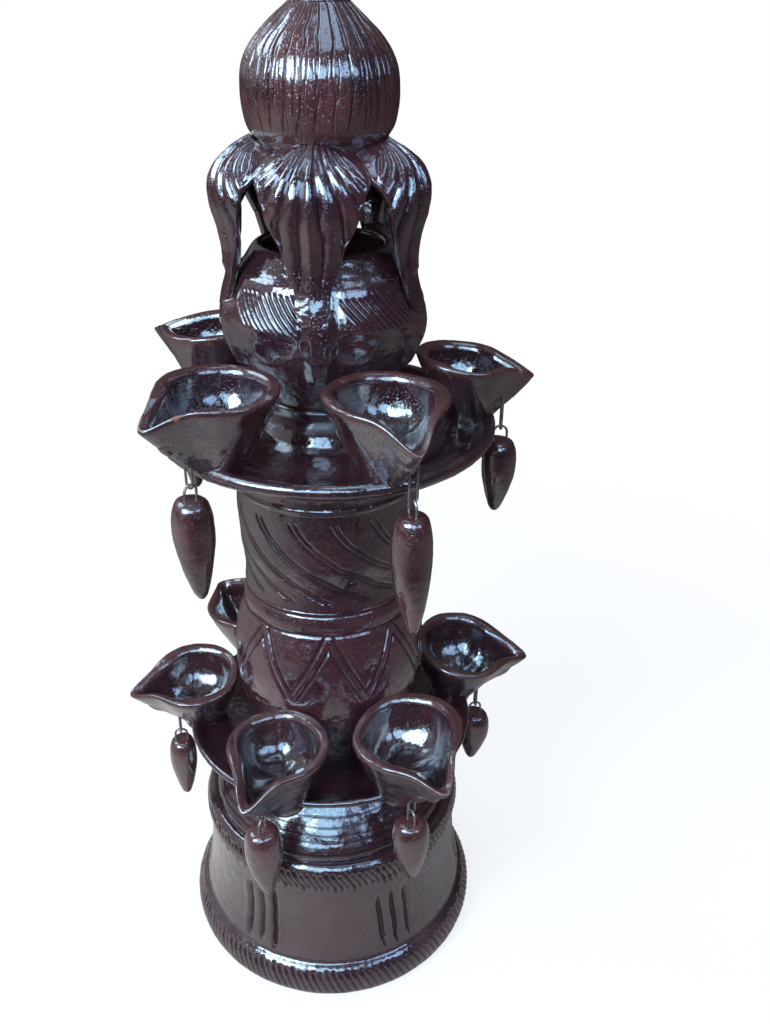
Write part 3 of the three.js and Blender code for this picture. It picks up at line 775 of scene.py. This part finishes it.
def make_barrel():
    """Barrel with two band lines and a zigzag of double lines."""
    piece = turned("barrel", through(BARREL, 116), through([[45, 286], [54, 230], [44, 170]], 8), 660, 0.5, 3)
    lumps(piece, (30, 0.7, 7), (5, 0.3, 23), 1.5)
    for height, width, depth in ((271, 1.5, 1.3), (284, 1.5, 1.3), (277.5, 4.8, -0.7)):
        work(piece, RING, Seed=3, **mm(Height=height, Width=width, Depth=depth, Waver=0.5))
    work(piece, ZIGZAG, Peaks=8, First=-1, Seed=8,
         **mm(Low=225, High=269, Gap=5.4, Width=1.6, Depth=1.4, Waver=0.9))
    give(piece, "column_barrel", barrel_glaze)


def make_neck():
    """Neck with pairs of grooves that sweep down round it."""
    piece = turned("neck", through(NECK, 104), through([[57, 380], [47, 340], [44, 286]], 8), 660, 0.5, 4)
    lumps(piece, (30, 0.9, 9), (5, 0.3, 24), 1.5)
    work(piece, RING, Seed=2, **mm(Height=356, Width=2.6, Depth=-1.3, Waver=2.2))
    pairs = 14
    for shift in (-2.2, 2.2):
        work(piece, CUTS, Lines=pairs, Step=360 / pairs, First=-35 + shift, Turn=76, Bend=1.6,
             Seed=11, **mm(Low=291, High=348, Width=1.25, Depth=1.4, Waver=1.2, Fade=2.5))
    give(piece, "column_neck", body_glaze)


# Azimuths on the pot, in degrees
FIRST_STEM = -3
FIRST_PANEL = FIRST_STEM + 180 / LEAF_COUNT


def make_pot():
    """Round pot: a stem under each leaf's tip and a padded, hatched panel between the stems."""
    piece = turned("pot", through(POT, 124), through(POT_INSIDE, 10)[:-1], 600, 0.3, 5)
    lumps(piece, (24, 0.7, 13), (5, 0.3, 25))
    pads = ((FIRST_PANEL, 27, 455, 486, 6, 1.6), (FIRST_STEM, 11, 428, 472, 7, 3.8))
    for first, half, low, high, soft, rise in pads:
        work(piece, PANELS, Groups=LEAF_COUNT, First=first, Half=half,
             **mm(Low=low, High=high, Soft=soft, Rise=rise))
    work(piece, CUTS, Groups=LEAF_COUNT, Lines=14, Step=4.1, First=FIRST_PANEL, Turn=20,
         Panel=25, Seed=14,
         **mm(Low=457.5, High=479, Width=1.5, Depth=1.4, Burr=0.1, Waver=0.5, Ragged=1.5, Fade=2.5))
    give(piece, "kalash_pot", body_glaze)


def make_small_rings():
    """The ring under the pot, and the collar that joins the leaves."""
    inside = through([[28, 408.5], [26, 398], [28, 387.5]], 6)
    foot = turned("pot_foot_ring", through(POT_FOOT, 26), inside, 240, 0.4, 6)
    lumps(foot, (15, 0.6, 15))
    give(foot, "pot_foot", body_glaze)
    inside = through([[27, 550], [26, 545], [26, 540]], 4)
    collar = turned("leaf_collar_ring", through(COLLAR, 14), inside, 240, 0.3, 7)
    lumps(collar, (12, 0.6, 16))
    give(collar, "leaf_collar", leaf_glaze)


def make_coconut():
    """Husked coconut: dense uneven scratches that gather towards its tip, and thin glaze low down."""
    outside = through(COCONUT, 116)
    inside = through([[8, 604], [24, 594], [33, 578], [33, 560], [28, 550]], 9)
    bare = np.clip((575 - np.vstack([outside, inside])[:, 1]) / 20, 0, 1)
    piece = turned("coconut_husk", outside, inside, 720, 0.4, 8, bare=bare)
    lumps(piece, (16, 0.8, 17), drawn=0.35)
    scratches = ((31, 622, 0.75, 0.8, 4.5, 2), (47, 607, 0.55, 0.45, 3, 15), (71, 590, 0.45, 0.32, 2, 18))
    for k, (lines, high, width, depth, waver, ragged) in enumerate(scratches):
        work(piece, CUTS, Lines=lines, Step=360 / lines, First=5 * k, Turn=3 * k - 3, Seed=k,
             **mm(Low=552.5, High=high, Width=width, Depth=depth, Waver=waver, Ragged=ragged, Fade=4))
    give(piece, "coconut", husk_glaze)
    profile = through(TIP, 24)
    tip = skin("coconut_point", at(all_round(96), profile[:, :1], profile[:, 1:]), outside=1)
    lumps(tip, (8, 0.6, 18))
    lines = 19
    work(tip, CUTS, Lines=lines, Step=360 / lines, Seed=4,
         **mm(Low=609, High=622, Width=0.9, Depth=0.5, Waver=0.8, Ragged=2, Fade=3))
    give(tip, "coconut_tip", husk_glaze)


# A leaf's rows and columns of points, and its relief in millimetres

LEAF_ROWS = 110
BLADE_COLUMNS = 132
EDGE_COLUMNS = 5
BACK_COLUMNS = 24
EDGE_SHARE = 0.035
CROWN = 5.4
LOBES = 1.7
LOBES_TOP = 530.0
MIDRIB = 1.3
MIDRIB_WIDTH = 3.0
TIP_STEP = 1.1
RIB_DEPTH = 2.7


def make_leaf(number):
    """A thick leaf: ribbed outside, smooth inside, round edges, and webs where it meets its neighbours."""
    path = through(LEAF, LEAF_ROWS)
    spine = path[:, :2]
    along = np.gradient(spine, axis=0)
    along /= np.linalg.norm(along, axis=1)[:, None]
    normal = np.stack([along[:, 1], -along[:, 0]], -1)
    rib_ends = (path[:, 2] / path[:, 4] * LEAF_RIBS / 2 + 0.5) % 1
    lobed = np.clip((LOBES_TOP - spine[:, 1]) / 8, 0, 1) * np.clip((spine[:, 1] - LEAF_TIP) / 4, 0, 1)
    half = path[:, 2] + LOBES * lobed * (0.4 - np.abs(2 * rib_ends - 1) ** 2)
    blade = np.minimum(path[:, 3] + half - path[:, 2], half)
    turn = np.linspace(0, np.pi, EDGE_COLUMNS + 2)[1:-1]
    flat = 1 - EDGE_SHARE
    edge = flat + EDGE_SHARE * np.sin(turn)
    front, back = np.linspace(-flat, flat, BLADE_COLUMNS), np.linspace(flat, -flat, BACK_COLUMNS)
    across = np.concatenate([front, edge, back, -edge])
    round_edge = (1 - np.cos(turn)) / 2
    depth = np.concatenate([np.zeros_like(front), round_edge, np.ones_like(back), 1 - round_edge])
    crown = CROWN * np.clip(half / 30, 0, 1) ** 1.5
    free = np.clip((spine[:, 1] - LEAF_TIP) / 5 + 0.5, 0, 1)[:, None]
    off_middle = across * half[:, None]
    midrib = MIDRIB * free * np.exp(-(off_middle / MIDRIB_WIDTH) ** 2)
    step = TIP_STEP * (1 - free)
    sink = crown[:, None] * np.abs(across) ** 1.6 + (step - midrib) * (1 - depth) + LEAF_THICKNESS * depth
    azimuth = FIRST_LEAF + 360 * number / LEAF_COUNT + off_middle
    rings = at(azimuth, spine[:, :1] - normal[:, :1] * sink, spine[:, 1:] - normal[:, 1:] * sink)
    swell = free[:, 0] * np.clip(blade / 22, 0, 1) * np.clip(path[:, 4] / 34, 0.3, 1)
    is_front = np.arange(len(across)) < BLADE_COLUMNS
    piece = skin(
        f"ribbed_leaf_{number + 1}", rings, outside=is_front[None, :],
        across=off_middle / blade[:, None], fan=off_middle / path[:, 4:], swell=swell,
    )
    lumps(piece, (22, 0.9, 20 + number), (5, 0.3, 80 + number))
    work(piece, RIBS, Ribs=LEAF_RIBS, **mm(Depth=RIB_DEPTH))
    give(piece, f"leaf_{number + 1}", leaf_glaze)


# Bowls, their wire loops and their hanging drops

BOWL_SIDES = 132
BODY_ROWS = 26
HOLLOW_ROWS = 22
HOLLOW_SQUARENESS = 0.8

# The lip's section from outside to inside, as [inwards, down]
LIP_DROP = 2.0
LIP = [[0, LIP_DROP], [0.05, 1.3], [0.35, 0.6], [0.9, 0.15], [1.7, 0], [2.6, 0.1], [3.6, 0.15], [4.4, 0.2],
       [5, 0.5], [5.45, 1.1], [LIP_WIDTH, LIP_DROP]]


def rim_reach(angle, half_width, reach):
    """Distance of the rim's edge from its centre, by angle from the spout."""
    taper = math.acos(half_width / reach)
    softened = np.hypot(angle, SPOUT_ROUNDING) - SPOUT_ROUNDING
    part = np.maximum(0, taper - softened)
    rise = (1 / np.cos(part) - 1) / (1 / math.cos(taper) - 1)
    return half_width + (reach - half_width) * rise ** SPOUT_SHARPNESS


def spun(vector, about, degrees):
    """A direction turned about another one."""
    return np.array(Matrix.Rotation(math.radians(degrees), 3, Vector(about)) @ Vector(vector))


def make_bowl(name, node, bowl, seed):
    """A pinched bowl: luted foot, conical body, thick flat lip and a hollow that runs out to the spout."""
    chance = np.random.default_rng(seed)
    heading = bowl["az"] + bowl["yaw"]
    level_spout, level_across = outwards(heading), sideways(heading)
    spout = spun(level_spout, level_across, bowl["tilt"])
    normal = spun((0, 0, 1), level_across, bowl["tilt"])
    across = spun(level_across, spout, -bowl["roll"])
    centre = at(bowl["az"], bowl["r"], bowl["z"])[0]
    tier, size = bowl["tier"], bowl["size"]
    spread = np.linspace(-1, 1, BOWL_SIDES, endpoint=False) + 1 / BOWL_SIDES
    angle = math.pi * np.sign(spread) * np.abs(spread) ** 1.35
    wave = sum(chance.normal(0, 0.5 / k) * np.sin(k * angle + chance.uniform(0, 6)) for k in (2, 3, 4))
    width = 1 + 0.1 * np.sin(2 * angle + chance.uniform(0, 6))
    width += 0.07 * np.sin(5 * angle + chance.uniform(0, 6))

    def rim(inset, lowered, shrink=1.0):
        half_width = RIM_HALF_WIDTH * size - inset
        reach = SPOUT_REACH * size - 1.3 * inset
        edge = rim_reach(angle, half_width, reach) - inset * (width - 1)
        dip = bowl["dip"] * shrink * (edge - half_width) / (reach - half_width)
        flat = edge * shrink
        ring = centre + spout * (flat * np.cos(angle))[:, None] + across * (flat * np.sin(angle))[:, None]
        ring -= normal * lowered
        ring[:, 2] += wave * shrink - dip
        return ring

    def foot(grow, sink=0.0):
        middle = at(bowl["az"], tier["seat_radius"], tier["seat"] - sink)[0]
        ring = level_spout * np.cos(angle)[:, None] + level_across * np.sin(angle)[:, None]
        return middle + ring * (tier["foot"] + grow)

    under = rim(0, LIP_DROP)
    rows = [foot(-5, 0.5), foot(1.5, 0.5)]
    for part in np.linspace(0, 1, BODY_ROWS)[1:-1]:
        flare = 3.2 * math.exp(-part / 0.07)
        belly = 1 + 0.05 * math.sin(math.pi * part ** 0.8)
        ring = foot(flare) * (1 - part) + under * part
        axis = ring.mean(0)
        ring[:, :2] = axis[:2] + (ring[:, :2] - axis[:2]) * belly
        rows.append(ring)
    rows += [rim(inset, lowered) for inset, lowered in LIP]
    for turn in np.radians(np.linspace(4, 87, HOLLOW_ROWS)):
        lowered = LIP_DROP + (BOWL_DEPTH * size - LIP_DROP) * math.sin(turn) ** HOLLOW_SQUARENESS
        rows.append(rim(LIP_WIDTH, lowered, math.cos(turn) ** HOLLOW_SQUARENESS))
    bare = np.zeros(len(rows))
    bare[BODY_ROWS - 1:BODY_ROWS + len(LIP) - 1] = 1
    # Painted shade: the hollow's rows are marked to darken, more so towards its bottom.
    pool = np.zeros(len(rows))
    pool[-HOLLOW_ROWS:] = np.linspace(0.4, 1, HOLLOW_ROWS)
    piece = skin(name, np.array(rows), outside=1, bare=bare, pool=pool)
    lumps(piece, (18, 0.8, 30 + seed), (4.5, 0.28, 70 + seed))
    give(piece, node, bowl_glaze)
    return piece


def underside_at(bowl, radius):
    """Height of a bowl's underside where its wire loop goes in."""
    tier = bowl["tier"]
    foot_edge = tier["seat_radius"] + tier["foot"]
    reach = SPOUT_REACH * bowl["size"]
    spout_height = bowl["z"] - bowl["dip"] - 2 - reach * math.sin(math.radians(bowl["tilt"]))
    part = (radius - foot_edge) / (bowl["r"] + reach - foot_edge)
    return tier["seat"] + part * (spout_height - tier["seat"])


def clay_above(piece, place):
    """Height in millimetres at which a line straight up from under a piece meets it."""
    start = Vector([*(place[:2] * MM + AXIS[:2]), 0])
    _, spot, _, _ = piece.ray_cast(start, Vector((0, 0, 1)))
    return spot.z / MM


def make_loop(name, node, body, centre, heading, half, legs, upwards):
    """A bend of wire whose two legs run into the clay."""
    piece = new_object(name, bpy.data.meshes.new(name))
    x, y, z = centre * MM + AXIS
    work(piece, WIRE, Heading=heading, Upwards=upwards, X=x, Y=y, Z=z,
         **mm(Half=half, Left=legs[0], Right=legs[1], Wire=WIRE_RADIUS))
    give(piece, node, wire_finish, body)


# A drop's outline as [share of its length from the top, share of its radius]
DROP_SHAPE = [[0, 0.3], [0.012, 0.6], [0.04, 0.78], [0.1, 0.9], [0.28, 1], [0.5, 0.91], [0.7, 0.7],
              [0.86, 0.47], [0.95, 0.3], [0.985, 0.17], [1, 0.05]]
DROP_SLENDERNESS = 4
DROP_BEND = 3.0
DROP_SIDES = 40
DROP_ROWS = 52


def make_drop(name, node, body, top, bowl, seed):
    """A rolled clay drop, blunt above and drawn to a slightly bent point."""
    length, fat = bowl["drop"], bowl["fat"]
    shape = through(np.multiply(DROP_SHAPE, [DROP_SLENDERNESS, 1]), DROP_ROWS)[::-1]
    down, width = shape[:, 0] / DROP_SLENDERNESS, shape[:, 1]
    azimuth = all_round(DROP_SIDES)
    oval = 1 + 0.04 * np.sin(np.radians(2 * azimuth + 40 * seed))
    rings = outwards(azimuth) * (fat * width)[:, None, None] * oval[:, None]
    lean = sideways(bowl["hang"]) * DROP_BEND
    rings = rings + top + lean * (down ** 2 - 0.25 * down)[:, None, None]
    rings[..., 2] -= (length * down)[:, None]
    piece = skin(name, rings, outside=1, bare=np.clip(1 - down * 9, 0, 1))
    lumps(piece, (14, 1.1, 50 + seed), (4, 0.25, 90 + seed), 0.5)
    give(piece, node, drop_glaze, body)


def make_bowl_set(bowl, number, seed):
    """One bowl with its fixed wire loop, and the drop that hangs from it by its own loop."""
    tier = bowl["tier"]["name"]
    body = f"{tier}_hanging_drop_{number}"
    hang = bowl["hang"]
    underside = underside_at(bowl, HANG_RADIUS)
    pivot = at(hang, HANG_RADIUS, underside - bowl["tier"]["wire_drop"])[0]
    half = BOWL_LOOP_WIDTH / 2
    bend = pivot + [0, 0, half]
    clay = make_bowl(f"{tier}_spouted_bowl_{number}", f"{tier}_bowl_{number}", bowl, seed)
    sides = [bend + sideways(hang) * half * side for side in (-1, 1)]
    legs = [clay_above(clay, side) + WIRE_EMBEDDED - bend[2] for side in sides]
    make_loop(f"{tier}_fixed_wire_{number}", f"{tier}_bowl_loop_{number}", "root", bend, hang, half, legs, 1)
    drop_half = DROP_LOOP_WIDTH / 2
    loop_top = pivot + [0, 0, 2 * WIRE_RADIUS + JOINT_GAP]
    legs = [DROP_LOOP_HEIGHT - drop_half + WIRE_EMBEDDED] * 2
    make_loop(f"{tier}_swinging_wire_{number}", f"{tier}_drop_loop_{number}", body,
              loop_top - [0, 0, drop_half], hang - 90, drop_half, legs, -1)
    make_drop(f"{tier}_clay_drop_{number}", f"{tier}_drop_{number}", body,
              loop_top - [0, 0, DROP_LOOP_HEIGHT], bowl, seed)


# The stage: floor, light and camera

def seen_directly(tree):
    """The path of the light so far, and whether it comes straight from the camera."""
    path = tree.outs("ShaderNodeLightPath")
    return path, tree.most(path["Is Camera Ray"], path["Is Transmission Ray"])


def make_floor():
    """A floor that looks white to the camera and keeps the lamp's shadow.

    To reflections and bounced light its colour is painted light: pale and warm near the lamp, brighter
    towards the sides and most of all to the left, and dark further off.
    """
    bpy.ops.mesh.primitive_plane_add(size=FLOOR_SIZE)
    floor = bpy.context.object
    floor.name = "floor"
    material, tree = open_material("pale_floor")
    _, seen = seen_directly(tree)
    place = tree.spot()
    away = tree.out("ShaderNodeVectorMath", {0: place}, "Value", operation="LENGTH")
    side = tree.split(place)[0] / away
    left, right = tree.most(-side, 0.0), tree.most(side, 0.0)
    # Painted light: the floor's colour for reflections is paler near the lamp and towards the sides, most of
    # all to the left, and dark further off.
    near = left * 0.2 + 0.36
    far = left * left * 0.32 + 0.03 + right * right * 0.16
    pale = tree.ease(tree.ease(away, 0.26, 0.46), 0.0, 1.0, near, far, "LINEAR")
    around = tree.vector(pale, pale * 0.76, pale * 0.62)
    matt = tree.out("ShaderNodeBsdfDiffuse", {"Color": tree.mixed(seen, around, SEEN_FLOOR)})
    glow = tree.out("ShaderNodeEmission", {"Color": WHITE, "Strength": 1.0})
    white = seen * tree.ease(away, 0.3, 0.9, 0.76, 1.0)
    mix = tree.out("ShaderNodeMixShader", {0: white, 1: matt, 2: glow})
    tree.add("ShaderNodeOutputMaterial", {"Surface": mix})
    floor.data.materials.append(material)


def make_world():
    """White to the camera, a plain soft light, and in reflections a dark horizon under a pale sky."""
    world = bpy.data.worlds.new("studio")
    world.use_nodes = True
    world.node_tree.nodes.clear()
    tree = Tree(world.node_tree)
    path, seen = seen_directly(tree)
    x, _, z = tree.split(tree.out("ShaderNodeTexCoord", output="Generated"))
    horizon = tree.ease(x, -1.0, 0.0, 0.45, 0.05)
    sky = tree.ease(z, 0.55, 0.9, horizon, 0.18)
    light = tree.ease(path["Is Glossy Ray"], 0.0, 1.0, 0.36, sky, "LINEAR")
    tint = tree.mixed(seen, SKY_TINT, WHITE)
    back = tree.out("ShaderNodeBackground", {"Color": tint, "Strength": tree.most(seen, light)})
    tree.add("ShaderNodeOutputWorld", {"Surface": back})
    bpy.context.scene.world = world


AIM_HEIGHT = 0.55


def make_softbox(name, azimuth, elevation, distance, width, height, power, colour):
    """A large soft lamp that faces the middle of the oil lamp."""
    light = bpy.data.lights.new(name, "AREA")
    light.shape = "ELLIPSE"
    light.size, light.size_y = width, height
    light.energy = power
    light.color = colour
    lamp = new_object(name, light)
    a, e = math.radians(azimuth), math.radians(elevation)
    away = Vector((math.sin(a) * math.cos(e), -math.cos(a) * math.cos(e), math.sin(e)))
    lamp.location = Vector((0, 0, cad_high.z * AIM_HEIGHT)) + away * distance
    lamp.rotation_euler = away.to_track_quat("Z", "Y").to_euler()


def make_camera():
    data = bpy.data.cameras.new("camera")
    data.sensor_width = SENSOR
    data.lens = SENSOR * FOCAL_PIXELS / LONG_SIDE_PIXELS
    data.clip_start = 0.01
    camera = new_object("camera", data)
    place = Matrix.Translation((AXIS[0], AXIS[1] - CAMERA_BACK * MM, CAMERA_HEIGHT * MM))
    pan = Matrix.Rotation(math.radians(-CAMERA_PAN), 4, "Z")
    pitch = Matrix.Rotation(math.radians(90 - CAMERA_PITCH), 4, "X")
    roll = Matrix.Rotation(math.radians(CAMERA_ROLL), 4, "Z")
    camera.matrix_world = place @ pan @ pitch @ roll
    bpy.context.scene.camera = camera


make_camera()
make_floor()
make_world()
make_softbox("left_softbox", -44, 34, 1.7, 1.05, 1.15, 48, (0.56, 0.79, 1.0))
make_softbox("front_softbox", -8, 31, 1.75, 1.15, 0.9, 18, (0.42, 0.7, 1.0))
make_softbox("right_softbox", 40, 33, 1.8, 0.95, 0.85, 11, (0.4, 0.62, 1.0))
make_softbox("back_left_softbox", -116, 44, 1.8, 1.0, 0.8, 13, (0.6, 0.8, 1.0))
make_softbox("top_softbox", 60, 80, 1.6, 1.1, 0.8, 6, (0.45, 0.7, 1.0))

make_base_bell()
make_base_dome()
make_tray("lower_plate", "lower_tray", LOWER_TRAY, 164.4, 0.7, 11)
make_tray("upper_plate", "upper_tray", UPPER_TRAY, 380.4, 0.8, 12)
make_barrel()
make_neck()
make_pot()
make_small_rings()
make_coconut()
for leaf in range(LEAF_COUNT):
    make_leaf(leaf)
counts = {"upper": 0, "lower": 0}
for order, each in enumerate(BOWLS):
    counts[each["tier"]["name"]] += 1
    make_bowl_set(each, counts[each["tier"]["name"]], order)

bpy.context.scene.view_settings.view_transform = "Standard"
